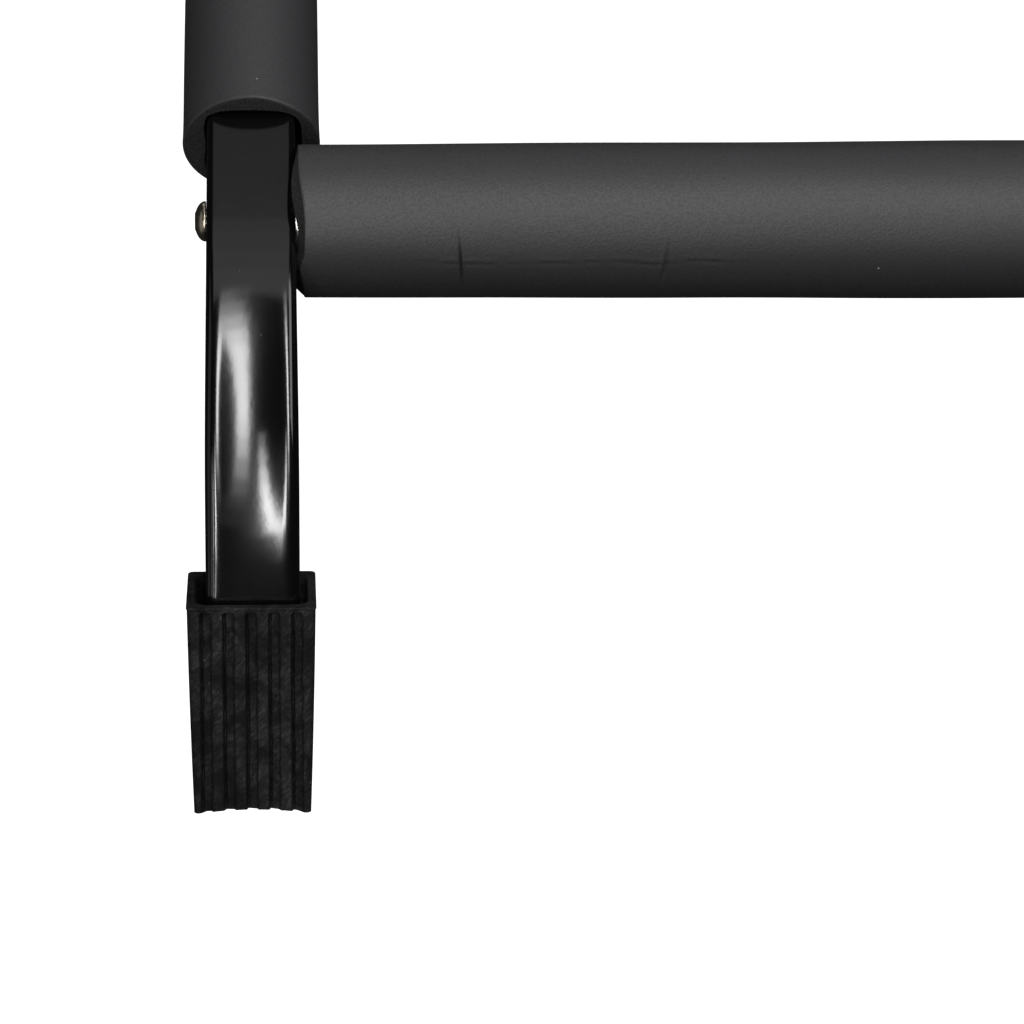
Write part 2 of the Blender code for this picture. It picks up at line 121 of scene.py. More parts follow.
# Baked black enamel: a deep black gloss. The dipped coat's fine waviness softens what it mirrors,
# handling makes the gloss a little uneven, and some dust lies on it.
enamel, tree, shader, spot = new_finish("black_enamel", IOR=1.5, Metallic=0.0)
clouds = add_node(tree, "ShaderNodeTexNoise", {"Vector": spot, "Scale": 0.5 / (9 * MM)})
body = add_node(tree, "ShaderNodeMix", {"Factor": clouds.outputs["Fac"], "A": linear("050505"),
                                        "B": linear("080808")}, data_type="RGBA")
dusty = dusted(tree, spot, 4.5 * MM, 0.5, body.outputs["Result"], "5C5A57")
tree.links.new(dusty, shader.inputs["Base Color"])
handled = add_node(tree, "ShaderNodeTexNoise",
                   {"Vector": spot, "Scale": 0.5 / (14 * MM), "Detail": 3.0})
gloss = add_node(tree, "ShaderNodeMapRange",
                 {"Value": handled.outputs["Fac"], "From Min": 0.3, "From Max": 0.7,
                  "To Min": 0.105, "To Max": 0.13})
tree.links.new(gloss.outputs["Result"], shader.inputs["Roughness"])
peel = add_node(tree, "ShaderNodeTexNoise",
                {"Vector": spot, "Scale": 0.5 / (1.4 * MM), "Detail": 5.0})
waves = add_node(tree, "ShaderNodeBump", {"Height": peel.outputs["Fac"], "Distance": 0.013 * MM})
tree.links.new(waves.outputs["Normal"], shader.inputs["Normal"])


def rounded_outline(half_u, half_v, corner, corner_steps, flat_step):
    """Points round a rectangle with round corners, its flats split into short steps."""
    points = []
    for quarter, (su, sv) in enumerate(((1, 1), (-1, 1), (-1, -1), (1, -1))):
        for i in range(corner_steps + 1):
            turn = math.radians(90 * quarter + 90 * i / corner_steps)
            points.append((su * (half_u - corner) + corner * math.cos(turn),
                           sv * (half_v - corner) + corner * math.sin(turn)))
    outline = []
    for i, (u, v) in enumerate(points):
        next_u, next_v = points[(i + 1) % len(points)]
        gap = math.hypot(next_u - u, next_v - v)
        parts = max(1, round(gap / flat_step))
        outline += [(u + (next_u - u) * k / parts, v + (next_v - v) * k / parts)
                    for k in range(parts)]
    return outline


def guide(name, points, closed=False):
    """A poly curve through points, as a path or a section for a sweep."""
    curve = bpy.data.curves.new(name, "CURVE")
    curve.dimensions = "3D"
    spline = curve.splines.new("POLY")
    spline.points.add(len(points) - 1)
    for point, place in zip(spline.points, points):
        point.co = (*place, 1)
    spline.use_cyclic_u = closed
    line = bpy.data.objects.new(name, curve)
    bpy.context.scene.collection.objects.link(line)
    return line


def socket(tree, name, kind, in_out="INPUT"):
    """Adds a named input or output to a geometry tree and gives its identifier."""
    return tree.interface.new_socket(name, in_out=in_out, socket_type=kind).identifier


def run_nodes(name, tree, values, smooth_deg=40):
    """Runs a geometry tree on an empty mesh and keeps its result as a plain mesh object."""
    holder = bpy.data.objects.new("holder", bpy.data.meshes.new("holder"))
    bpy.context.scene.collection.objects.link(holder)
    modifier = holder.modifiers.new("nodes", "NODES")
    modifier.node_group = tree
    for key, value in values.items():
        modifier[key] = value
    shape = holder.evaluated_get(bpy.context.evaluated_depsgraph_get())
    mesh = bpy.data.meshes.new_from_object(shape)
    mesh.name = name
    bpy.data.objects.remove(holder)
    mesh.set_sharp_from_angle(angle=math.radians(smooth_deg))
    piece = bpy.data.objects.new(name, mesh)
    bpy.context.scene.collection.objects.link(piece)
    return piece


sweep_tree = bpy.data.node_groups.new("swept_tube", "GeometryNodeTree")
socket(sweep_tree, "Geometry", "NodeSocketGeometry", "OUTPUT")
SWEEP_PATH = socket(sweep_tree, "Path", "NodeSocketObject")
SWEEP_SECTION = socket(sweep_tree, "Section", "NodeSocketObject")
SWEEP_FINISH = socket(sweep_tree, "Finish", "NodeSocketMaterial")
asked = add_node(sweep_tree, "NodeGroupInput").outputs
path = add_node(sweep_tree, "GeometryNodeObjectInfo", {"Object": asked["Path"]})
section = add_node(sweep_tree, "GeometryNodeObjectInfo", {"Object": asked["Section"]})
swept = add_node(sweep_tree, "GeometryNodeCurveToMesh",
                 {"Curve": path.outputs["Geometry"], "Profile Curve": section.outputs["Geometry"],
                  "Fill Caps": True})
smooth = add_node(sweep_tree, "GeometryNodeSetShadeSmooth", {"Geometry": swept.outputs["Mesh"]})
real = add_node(sweep_tree, "GeometryNodeRealizeInstances", {"Geometry": smooth.outputs[0]})
coated = add_node(sweep_tree, "GeometryNodeSetMaterial",
                  {"Geometry": real.outputs[0], "Material": asked["Finish"]})
add_node(sweep_tree, "NodeGroupOutput", {"Geometry": coated.outputs[0]})


def face_outwards(mesh):
    """Turns every face of a closed mesh to point out of it."""
    shell = bmesh.new()
    shell.from_mesh(mesh)
    bmesh.ops.recalc_face_normals(shell, faces=shell.faces)
    shell.to_mesh(mesh)
    shell.free()


def sweep(name, points, outline, finish):
    """A solid of one outline along a path, both made into a plain mesh."""
    path = guide("path", points)
    section = guide("section", [(u, v, 0) for u, v in outline], closed=True)
    piece = run_nodes(name, sweep_tree,
                      {SWEEP_PATH: path, SWEEP_SECTION: section, SWEEP_FINISH: finish})
    bpy.data.objects.remove(path)
    bpy.data.objects.remove(section)
    face_outwards(piece.data)
    return piece


def stand_for(piece, node):
    """The piece replaces a node of the frame and moves with the frame's one body."""
    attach(piece, "root")
    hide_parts(node)


foam_low, foam_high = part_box("front_bar_foam")
BAR_Y = (foam_low[1] + foam_high[1]) / 2
ARM_Z = (foam_low[2] + foam_high[2]) / 2
BEND_Y = BAR_Y - BEND_START
BEND_Z = ARM_Z - FRONT_BEND


def arm_line(box_low, box_high):
    """The arm's middle line as (x, y, z), from the riser's top to the tail's end."""
    x = (box_low[0] + box_high[0]) / 2
    riser_y = box_high[1] - ARM_HALF
    turn_y, turn_z = riser_y - RISER_BEND, ARM_Z + RISER_BEND
    points = [(x, riser_y, box_high[2])]
    for i in range(25):
        turn = math.radians(90 * i / 24)
        points.append((x, turn_y + RISER_BEND * math.cos(turn), turn_z - RISER_BEND * math.sin(turn)))
    points += [(x, BAR_Y + CLAMP_STRETCH * (1 - i / 20), ARM_Z) for i in range(20)]
    points += [(x, BAR_Y - BEND_START * i / 5, ARM_Z) for i in range(5)]
    for i in range(91):
        turn = math.radians(FRONT_BEND_DEG * i / 90)
        points.append((x, BEND_Y - FRONT_BEND * math.sin(turn), BEND_Z + FRONT_BEND * math.cos(turn)))
    heading = math.radians(FRONT_BEND_DEG)
    for i in range(1, 11):
        run = TAIL_LENGTH * i / 10
        points.append((x, BEND_Y - FRONT_BEND * math.sin(heading) - run * math.cos(heading),
                       BEND_Z + FRONT_BEND * math.cos(heading) - run * math.sin(heading)))
    return points


def smooth_step(value, low, high):
    """0 at low, 1 at high, with an easy start and stop between them."""
    share = np.clip((value - low) / (high - low), 0, 1)
    return share * share * (3 - 2 * share)


def shape_arm(arm, x, inward):
    """Sinks the dish along the outside of the front bend, and the clamped wall at the bolt."""
    mesh = arm.data
    spots = np.empty(len(mesh.vertices) * 3)
    mesh.vertices.foreach_get("co", spots)
    spots = spots.reshape(-1, 3)
    across = spots[:, 0] - x
    from_y, from_z = BEND_Y - spots[:, 1], spots[:, 2] - BEND_Z
    turn = np.arctan2(from_y, from_z)
    share = np.clip((turn / math.radians(FRONT_BEND_DEG) - DISH_FROM) / (DISH_TO - DISH_FROM), 0, 1)
    height = np.hypot(from_y, from_z) - FRONT_BEND
    outside = np.clip((height - ARM_HALF + OUTSIDE_FROM) / OUTSIDE_OVER, 0, 1)
    bowl = 1 - (across / DISH_HALF) ** 2
    bowl = (bowl + np.sqrt(bowl**2 + DISH_CREST**2)) / 2
    shoulder = np.clip(np.abs(across) - SHOULDER_FROM, 0, None) ** 2 / (2 * SHOULDER_R)
    depth = DISH_DEPTH * np.sin(np.pi * share) ** DISH_POWER * bowl
    depth = (depth + shoulder * np.sin(np.pi * share) ** SHOULDER_POWER) * outside
    spots[:, 1] += depth * np.sin(turn)
    spots[:, 2] -= depth * np.cos(turn)
    spots[:, 0] += np.sign(across) * (NARROW + (WIDE - NARROW) * smooth_step(share, 0, 0.7))
    reach = np.hypot(spots[:, 1] - BAR_Y, spots[:, 2] - ARM_Z) / CLAMP_SPREAD
    clamped = CLAMP_DEPTH * np.exp(-reach**2) * (across * inward > ARM_HALF * 0.8)
    spots[:, 0] -= inward * clamped
    mesh.vertices.foreach_set("co", spots.ravel())
    mesh.update()


ARM_SECTION = rounded_outline(ARM_HALF, ARM_HALF, ARM_CORNER, corner_steps=8, flat_step=0.8 * MM)
SIDES = {"left": 1, "right": -1}    # the way to the middle of the frame, along X
for side, inward in SIDES.items():
    box_low, box_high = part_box(f"arm_{side}")
    line = arm_line(box_low, box_high)
    arm = sweep(f"bent_arm_{side}", line, ARM_SECTION, enamel)
    shape_arm(arm, line[0][0], inward)
    stand_for(arm, f"arm_{side}")

# ---- Foam sleeves ----
# Closed-cell rubber foam tube with a moulded skin, cut square and pushed over the steel. Its skin
# has a fine leathery grain and takes slits and creases; its cut ends show the open cells.

# Skinned foam: matt black with a soft broad sheen, because the skin's fine grain scatters light.
# The grain is drawn a little coarser than the real one, so that it shows.
foam_skin, tree, shader, spot = new_finish("foam_skin", IOR=1.5, Metallic=0.0)
mottle = add_node(tree, "ShaderNodeTexNoise",
                  {"Vector": spot, "Scale": 0.5 / (22 * MM), "Detail": 3.0})
leather = add_node(tree, "ShaderNodeTexNoise",
                   {"Vector": spot, "Scale": 0.5 / (0.36 * MM), "Detail": 1.0, "Roughness": 0.5})
skin = add_node(tree, "ShaderNodeMix", {"Factor": mottle.outputs["Fac"], "A": linear("2C2B2D"),
                                        "B": linear("302F31")}, data_type="RGBA")
pored = add_node(tree, "ShaderNodeMapRange",
                 {"Value": leather.outputs["Fac"], "From Min": 0.35, "From Max": 0.55,
                  "To Min": 0.24, "To Max": 0.0})
grained = add_node(tree, "ShaderNodeMix", {"Factor": pored.outputs["Result"],
                                           "A": skin.outputs["Result"], "B": linear("161617")},
                   data_type="RGBA")
dusty = dusted(tree, spot, 9 * MM, 0.25, grained.outputs["Result"], "8A877F")
tree.links.new(dusty, shader.inputs["Base Color"])
sheen = add_node(tree, "ShaderNodeMapRange",
                 {"Value": leather.outputs["Fac"], "From Min": 0.3, "From Max": 0.7,
                  "To Min": 0.6, "To Max": 0.52})
tree.links.new(sheen.outputs["Result"], shader.inputs["Roughness"])
pores = add_node(tree, "ShaderNodeBump", {"Height": leather.outputs["Fac"],
                                          "Distance": 0.09 * MM})
tree.links.new(pores.outputs["Normal"], shader.inputs["Normal"])

# Cut foam: duller, with the speckle of open cells 0.3 to 0.5 mm across.
foam_cut, tree, shader, spot = new_finish("foam_cut_face", IOR=1.5, Roughness=0.9, Metallic=0.0)
cells = add_node(tree, "ShaderNodeTexVoronoi", {"Vector": spot, "Scale": 1 / (0.45 * MM)})
tone = add_node(tree, "ShaderNodeSeparateColor", {"Color": cells.outputs["Color"]})
open_cells = add_node(tree, "ShaderNodeMix", {"Factor": tone.outputs["Red"], "A": linear("020202"),
                                              "B": linear("21201F")}, data_type="RGBA")
tree.links.new(open_cells.outputs["Result"], shader.inputs["Base Color"])
hollows = add_node(tree, "ShaderNodeBump", {"Height": cells.outputs["Distance"],
                                            "Distance": 0.12 * MM})
tree.links.new(hollows.outputs["Normal"], shader.inputs["Normal"])


def skin_mesh(name, rings, finishes, ring_finish=None, capped=False, smooth_deg=35):
    """A closed skin through rings of points. The last ring joins the first, or both are capped.
    ring_finish gives each band the number of its finish."""
    rings = np.asarray(rings, dtype=float)
    count, around = rings.shape[:2]
    bands = count - 1 if capped else count
    index = np.arange(around)
    after = (index + 1) % around
    faces, numbers = [], []
    for band in range(bands):
        first, second = band * around, ((band + 1) % count) * around
        faces += np.stack([first + index, first + after, second + after, second + index], 1).tolist()
        numbers += [ring_finish[band] if ring_finish is not None else 0] * around
    if capped:
        faces += [index[::-1].tolist(), (index + (count - 1) * around).tolist()]
        numbers += [numbers[0], numbers[-1]]
    mesh = bpy.data.meshes.new(name)
    mesh.from_pydata(rings.reshape(-1, 3).tolist(), [], faces)
    for finish in finishes:
        mesh.materials.append(finish)
    mesh.polygons.foreach_set("material_index", numbers)
    face_outwards(mesh)
    mesh.shade_smooth()
    mesh.set_sharp_from_angle(angle=math.radians(smooth_deg))
    piece = bpy.data.objects.new(name, mesh)
    bpy.context.scene.collection.objects.link(piece)
    return piece


END_REACH = 12 * MM       # how far along the skin the shape of a cut is felt


def foam_rings(stations, turns, radius_at, bore_at, start_at, end_at, lip=0.5 * MM):
    """Rings of (along, turn, radius) round a sleeve: along its skin, over the cut end, back through
    the bore and over the other cut end, with the finish of the band after each ring. start_at and
    end_at say how far the bore's edge, the middle of the cut and the skin's edge are shifted."""
    rings, numbers = [], []

    def add(along, radius, number):
        rings.append(np.stack([np.broadcast_to(along, turns.shape), turns, radius], 1))
        numbers.append(number)

    first, last = stations[0], stations[-1]
    start_bore, start_middle, start_skin = start_at(turns)
    end_bore, end_middle, end_skin = end_at(turns)
    for along in stations:
        near_start = max(0, 1 - (along - first) / END_REACH) ** 2
        near_end = max(0, 1 - (last - along) / END_REACH) ** 2
        add(along + start_skin * near_start + end_skin * near_end, radius_at(along, turns), 0)
    bore = bore_at(turns)
    start_r, end_r = rings[0][:, 2], rings[-1][:, 2]
    start_edge, end_edge = first + start_skin, last + end_skin
    add(end_edge + 0.7 * lip, end_r - 0.3 * lip, 0)
    add(end_edge + lip, end_r - lip, 1)
    add(last + lip + end_middle, bore * 0.4 + end_r * 0.6, 1)
    add(last + lip + end_bore, bore, 1)
    add(first - lip + start_bore, bore, 1)
    add(first - lip + start_middle, bore * 0.4 + start_r * 0.6, 1)
    add(start_edge - lip, start_r - lip, 0)
    add(start_edge - 0.7 * lip, start_r - 0.3 * lip, 0)
    return rings, numbers


def place_rings(rings, origin, axis, u_axis):
    """Turns (along, turn, radius) into points about an axis; turn 0 is u_axis."""
    axis, u_axis = np.array(axis, dtype=float), np.array(u_axis, dtype=float)
    v_axis = np.cross(u_axis, axis)
    placed = []
    for ring in rings:
        along, turn, radius = ring[:, 0:1], ring[:, 1:2], ring[:, 2:3]
        placed.append(np.array(origin) + along * axis + radius * np.cos(turn) * u_axis
                      + radius * np.sin(turn) * v_axis)
    return placed


def lumps(along, turns, seed, size, height):
    """Slow unevenness of the foam's skin."""
    return np.array([noise.noise(Vector((along / size + seed, 1.7 * math.cos(t), 1.7 * math.sin(t))))
                     for t in turns]) * height


def dip(value, middle, width):
    """A smooth dip of 1 at the middle."""
    return np.exp(-((value - middle) / width) ** 2)


def fit_sleeve(name, node, rings_and_finish, origin, axis, u_axis):
    """Puts a sleeve's rings in their place and gives the foam piece that stands for a node."""
    rings, band_finish = rings_and_finish
    rings = place_rings(rings, origin, axis, u_axis)
    sleeve = skin_mesh(name, rings, [foam_skin, foam_cut], band_finish)
    stand_for(sleeve, node)


# The front bar's sleeve. Turn 0 faces the user, level; a quarter turn is up. Where it meets the
# left arm its end was cut by hand and bulges over the tube's corner.
FOAM_R = (foam_high[2] - foam_low[2]) / 2
FOAM_BORE = 14.3 * MM
FOAM_LENGTH = foam_high[0] - foam_low[0]
SKIN_IN = 0.1 * MM            # how far the skin stays inside the sleeve's box
BELLY = 0.9 * MM              # how much fatter the sleeve is in its middle
END_IN = 0.6 * MM             # how far a square cut stays inside the box
WRINKLES_FROM, WRINKLES_TO, WRINKLE_FADE = 30 * MM, 130 * MM, 12 * MM
WRINKLE_DEPTH, WRINKLE_SWELL = 0.16 * MM, 0.13 * MM
SLIT_AT, SLIT_DEPTH, SLIT_LIP = 44.5 * MM, 1.0 * MM, 0.18 * MM
CREASE_AT, CREASE_DEPTH, CREASE_LIP = 100.5 * MM, 0.55 * MM, 0.2 * MM


def front_radius(along, turns):
    """The skin's radius: bellied, uneven, with a slit, a crease and a row of low wrinkles."""
    level = np.degrees(turns)
    belly = BELLY * math.sin(math.pi * along / FOAM_LENGTH)
    radius = FOAM_R - SKIN_IN + belly + lumps(along, turns, 3.1, 55 * MM, 0.22 * MM)
    slit_lean = 1.2 * MM * (level - 10) / 30
    within = dip(level, 12, 16)
    radius -= SLIT_DEPTH * dip(along, SLIT_AT - slit_lean * 0.6, 0.28 * MM) * within
    radius += SLIT_LIP * dip(along, SLIT_AT - slit_lean * 0.6 + 0.7 * MM, 0.5 * MM) * within
    radius -= CREASE_DEPTH * dip(along, CREASE_AT + slit_lean, 0.55 * MM) * dip(level, 10, 13)
    radius += CREASE_LIP * dip(along, CREASE_AT + slit_lean - 1.1 * MM, 0.8 * MM) * dip(level, 10, 13)
    fade = np.clip(min(along - WRINKLES_FROM, WRINKLES_TO - along) / WRINKLE_FADE, 0, 1)
    wander = 3.0 * noise.noise(Vector((along * 90, 0.3, 7.7)))
    strength = 0.55 + 0.9 * noise.noise(Vector((along * 230, 5.1, 0.4)))
    radius -= WRINKLE_DEPTH * fade * strength * dip(level, 15 + wander, 1.6)
    radius += WRINKLE_SWELL * fade * strength * dip(level, 18 + wander, 1.8)
    return radius


def by_level(turns, levels, shifts):
    """Shifts read off a line through a few levels, in degrees above the user's horizon."""
    level = (np.degrees(turns) + 90) % 360 - 90
    return np.interp(level, levels, shifts) * MM


def front_end_left(turns):
    """The left end, cut by hand: bore, middle and skin edges, from the arm's wall plus a gap."""
    bore = by_level(turns, (-90, 8, 18, 28, 44, 52, 62, 90, 200, 270),
                    (-0.3, -0.3, 0.6, 0.9, 0.8, 0.1, -0.4, -0.4, 0.3, -0.3))
    middle = by_level(turns, (-90, 0, 10, 17, 24, 40, 47, 55, 66, 83, 100, 125, 145, 200, 270),
                      (-0.3, -0.2, -0.4, 0.3, 0.5, 0.5, 0.2, -0.4, -1.0, -1.3, -0.8, 0.2, 0.9, 0.5,
                       -0.3))
    skin = by_level(turns, (-90, -38, -14, 0, 8, 14, 20, 33, 48, 61, 73, 83, 100, 141, 180, 270),
                    (2.1, 2.1, 1.9, 1.3, 0.8, 1.1, 2.0, 2.2, 2.2, 1.8, 1.2, 0.7, 0.5, 0.6, 1, 2.1))
    return bore, middle, skin


def square_end(turns):
    """A straight cut, just inside the sleeve's box."""
    shift = np.full(turns.shape, END_IN)
    return shift, shift, shift


def square_far_end(turns):
    """The same at the sleeve's other end."""
    shift = np.full(turns.shape, -END_IN)
    return shift, shift, shift


def even_steps(start, end, step):
    """Places from start to end, about a step apart."""
    return list(np.linspace(start, end, max(2, round((end - start) / step) + 1)))


def front_stations():
    """Where the sleeve's rings stand: close together at its marks, wide apart elsewhere."""
    stations = even_steps(0, END_REACH, 0.5 * MM) + even_steps(END_REACH, WRINKLES_FROM, 1.2 * MM)
    stations += even_steps(WRINKLES_FROM, WRINKLES_TO, 0.8 * MM)
    stations += even_steps(WRINKLES_TO, FOAM_LENGTH - 0.5 * MM, 2.5 * MM)
    for seam in (SLIT_AT, CREASE_AT):
        stations += even_steps(seam - 3 * MM, seam + 3 * MM, 0.15 * MM)
    stations = sorted(stations)
    return [a for i, a in enumerate(stations) if i == 0 or a - stations[i - 1] > 0.05 * MM]


def foam_bore(turns):
    """The plain round bore of the sleeves on the front bar and the door bar."""
    return np.full(turns.shape, FOAM_BORE)


turns = np.radians(np.concatenate([np.arange(-30, 60, 1.2), np.arange(60, 330, 2.5)]))
rings = foam_rings(front_stations(), turns, front_radius, foam_bore, front_end_left,
                   square_far_end)
fit_sleeve("front_bar_sleeve", "front_bar_foam", rings, (foam_low[0], BAR_Y, ARM_Z), (1, 0, 0),
           (0, -1, 0))

# The grips are the same foam stretched over the square tube. Their round bore is pulled nearly
# square: it is tight at the tube's corners and arches a little open over its flats.
ARCH = 14.2 * MM
ARCH_POWER = 4.2
LEFT_TIGHT = 1.4 * MM         # how much closer the bore is at the tube's left face
GRIP_SNUG = 12.75 * MM        # the least half width of the bore, just over the tube's
GRIP_FLARE, FLARE_OVER = 0.25 * MM, 6 * MM   # the cut end spreads a little
GRIP_SKIN_IN = 0.15 * MM


def square_radius(turns, half, corner):
    """The distance from the middle to a rounded square, at each turn."""
    cos, sin = np.abs(np.cos(turns)), np.abs(np.sin(turns))
    flat = half / np.maximum(cos, sin)
    middle = half - corner
    along = (cos + sin) * middle
    corner_hit = along + np.sqrt(np.maximum(along**2 - 2 * middle**2 + corner**2, 0))
    in_corner = np.minimum(cos, sin) * flat > middle
    return np.where(in_corner, corner_hit, flat)


for side, seed in (("left", 0.6), ("right", 9.2)):
    low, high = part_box(f"grip_foam_{side}")
    middle = ((low[0] + high[0]) / 2, low[1], (low[2] + high[2]) / 2)
    grip_r = (high[0] - low[0]) / 2
    grip_length = high[1] - low[1]

    def grip_radius(along, turns, seed=seed):
        flare = GRIP_FLARE * math.exp(-along / FLARE_OVER)
        return grip_r - GRIP_SKIN_IN + flare + lumps(along, turns, seed, 50 * MM, 0.12 * MM)

    def grip_bore(turns):
        arch = (np.abs(np.cos(turns)) ** ARCH_POWER
                + np.abs(np.sin(turns)) ** ARCH_POWER) ** (-1 / ARCH_POWER) * ARCH
        tight = np.where(np.cos(turns) < 0, LEFT_TIGHT, 0) * np.cos(turns) ** 4
        return np.maximum(arch - tight, square_radius(turns, GRIP_SNUG, ARM_CORNER))

    def grip_start(turns, seed=seed):
        wave = np.array([noise.noise(Vector((seed, 1.3 * math.cos(t), 1.3 * math.sin(t))))
                         for t in turns]) * 0.5 * MM
        return END_IN + wave, END_IN + wave, END_IN + 0.1 * MM + wave

    stations = even_steps(0, 30 * MM, 0.8 * MM) + even_steps(32 * MM, grip_length - 0.8 * MM, 2 * MM)
    turns = np.radians(np.arange(0, 360, 2.0))
    rings = foam_rings(stations, turns, grip_radius, grip_bore, grip_start, square_far_end)
    fit_sleeve(f"grip_sleeve_{side}", f"grip_foam_{side}", rings, middle, (0, 1, 0), (1, 0, 0))

# The door bar's pads are the thickest foam, because they press on the painted trim.
for side, seed in (("left", 4.4), ("right", 6.9)):
    low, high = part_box(f"door_pad_{side}")
    origin = (low[0], (low[1] + high[1]) / 2, (low[2] + high[2]) / 2)
    pad_r = (high[2] - low[2]) / 2
    pad_length = high[0] - low[0]

    def pad_radius(along, turns, seed=seed):
        return pad_r - GRIP_SKIN_IN + lumps(along, turns, seed, 60 * MM, 0.2 * MM)

    turns = np.radians(np.arange(0, 360, 2.5))
    rings = foam_rings(even_steps(0, pad_length - 0.5 * MM, 2 * MM), turns, pad_radius, foam_bore,
                       square_end, square_far_end)
    fit_sleeve(f"door_bar_pad_{side}", f"door_pad_{side}", rings, origin, (1, 0, 0), (0, -1, 0))

# ---- Boots ----
# Moulded black rubber boots pushed over the arms' ends. The upper and lower faces carry five
# grooves each, the mouth is wider than the tube, and the foot's edge is arched.

BOOT_LENGTH = 59.1 * MM
BOOT_FLOOR = 6.6 * MM
BOOT_CORNER = 1.6 * MM
BOOT_TOP_HALF = 17.35 * MM
BOOT_TAPER, BOOT_TAPER_MORE = 0.0147, 0.155   # lost for each metre, and each metre squared
BOOT_GAP = 0.3 * MM       # between the boot and the tube
BOOT_OFF = 0.45 * MM      # the mould's outside is a little off the tube's middle
MOUTH_WIDE = 15.2 * MM
MOUTH_HIGH = 14.4 * MM
MOUTH_DEPTH = 14 * MM
MOUTH_CORNER = 4 * MM
RIM_HALF = 17.3 * MM
LIP_HIGH = 0.7 * MM
LIP_OUT = 0.2 * MM
FOOT_EDGE = 0.15 * MM
GROOVES = 5
GROOVE_PITCH = 6.15 * MM
GROOVE_HALF = 1.4 * MM
GROOVE_DEPTH = 1.15 * MM    # in its middle; it is deeper at its left wall
GROOVE_WALL = 0.3 * MM
GROOVE_WAVER = 0.12 * MM
GROOVE_EASE = 0.35 * MM     # from the rim's edge to a groove's full depth
GROOVE_START = 1.3 * MM
NICK_DEPTH = 1.3 * MM       # the sharp foot of each groove's left wall
NICK_IN, NICK_OUTER, NICK_INNER = 0.2 * MM, 0.55 * MM, 0.25 * MM
NICK_FADE = 3 * MM
BURR = 0.18 * MM            # the edge over its right wall
BURR_HALF = 0.35 * MM
GROOVE_TOP_CORNER = 0.7 * MM
FOOT_ARCH, ARCH_FROM = 1.2 * MM, 12 * MM   # the arch fades in over this length

# Moulded rubber: dull black, blotchy where release agent dried in the mould, with fine slanting
# scuffs that catch the light, and dust in the grooves.
rubber, tree, shader, spot = new_finish("moulded_rubber", IOR=1.5, Metallic=0.0,
                                        Specular_IOR_Level=0.2)
slanted = add_node(tree, "ShaderNodeMapping",
                   {"Vector": spot, "Rotation": (math.radians(-FRONT_BEND_DEG), 0,
                                                 math.radians(-50))})
drawn = add_node(tree, "ShaderNodeMapping", {"Vector": slanted.outputs["Vector"],
                                             "Scale": (0.33, 1, 1)})
blotch = add_node(tree, "ShaderNodeTexNoise",
                  {"Vector": spot, "Scale": 0.5 / (5 * MM), "Detail": 4.0, "Roughness": 0.6,
                   "Distortion": 0.8})
scuff = add_node(tree, "ShaderNodeTexNoise",
                 {"Vector": drawn.outputs["Vector"], "Scale": 0.5 / (0.4 * MM), "Detail": 3.0,
                  "Roughness": 0.6, "Distortion": 0.6})
patch = add_node(tree, "ShaderNodeMapRange",
                 {"Value": blotch.outputs["Fac"], "From Min": 0.4, "From Max": 0.62})
mould = add_node(tree, "ShaderNodeMix", {"Factor": patch.outputs["Result"], "A": linear("060606"),
                                         "B": linear("161616")}, data_type="RGBA")
scratch = add_node(tree, "ShaderNodeMapRange",
                   {"Value": scuff.outputs["Fac"], "From Min": 0.45, "From Max": 0.68})
bared = add_node(tree, "ShaderNodeMath", {0: scratch.outputs["Result"],
                                          1: patch.outputs["Result"]}, operation="MULTIPLY")
worn = add_node(tree, "ShaderNodeMix", {"Factor": bared.outputs["Value"],
                                        "A": mould.outputs["Result"], "B": linear("303032")},
                data_type="RGBA")
dusty = dusted(tree, spot, 3.5 * MM, 0.35, worn.outputs["Result"], "8A8883")
tree.links.new(dusty, shader.inputs["Base Color"])
satin = add_node(tree, "ShaderNodeMapRange",
                 {"Value": blotch.outputs["Fac"], "From Min": 0.35, "From Max": 0.68,
                  "To Min": 0.85, "To Max": 0.6})
tree.links.new(satin.outputs["Result"], shader.inputs["Roughness"])
relief = add_node(tree, "ShaderNodeBump", {"Height": scuff.outputs["Fac"], "Distance": 0.45 * MM})
tree.links.new(relief.outputs["Normal"], shader.inputs["Normal"])


def boot_half(below):
    """Half the boot's width at a distance below its rim: it tapers, faster near the foot."""
    return BOOT_TOP_HALF - BOOT_TAPER * below - BOOT_TAPER_MORE * below**2


